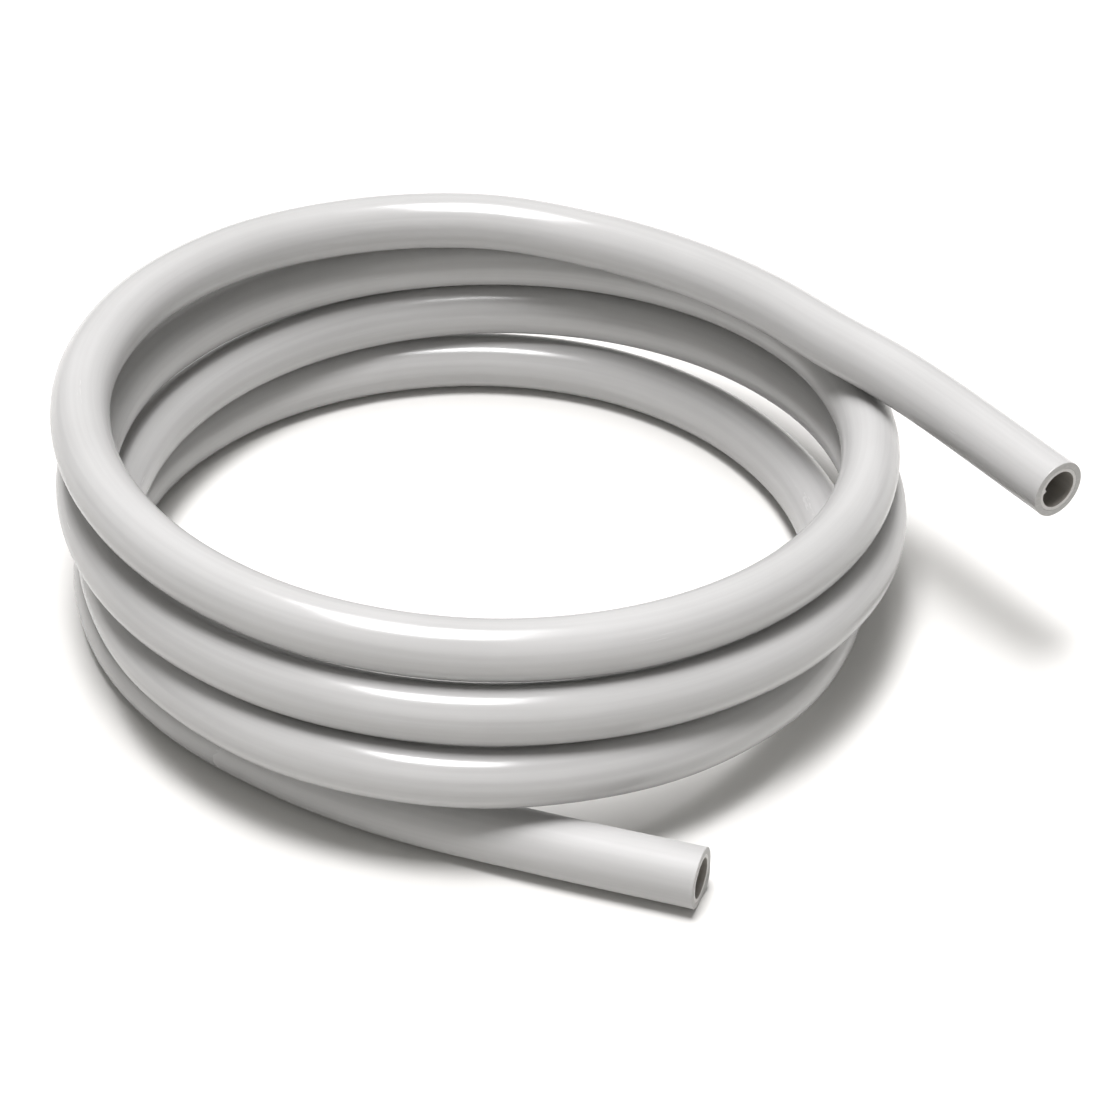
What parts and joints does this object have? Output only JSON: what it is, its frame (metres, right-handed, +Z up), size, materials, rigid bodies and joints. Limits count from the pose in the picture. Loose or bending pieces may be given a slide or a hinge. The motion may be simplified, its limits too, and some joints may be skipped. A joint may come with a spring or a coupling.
{
  "type": "pool cleaner hose",
  "caption": "Smooth thick-walled PVC hose lying in a loose coil of nearly four turns, with two plain cut ends.",
  "frame": {"origin": "on the floor, under the middle of the whole coil and its two free ends", "axes": "+Z up, the coil's axis; +X to the right, the side that both free ends leave on; +Y away from the free lower end, to the back of the coil"},
  "size_m": [0.49, 0.4548, 0.1286],
  "materials": {
    "jacket_pvc": "gloss, pale grey, soft extruded PVC",
    "liner_pvc": "satin, slightly warmer and lighter than the jacket",
    "reinforcement_yarn": "dull white polyester yarn, embedded between the two PVC layers"
  },
  "bodies": {
    "root": {"inner_liner": "liner_pvc", "yarn_ply_inner": "reinforcement_yarn", "yarn_ply_outer": "reinforcement_yarn", "outer_jacket": "jacket_pvc"}
  },
  "joints": []
}
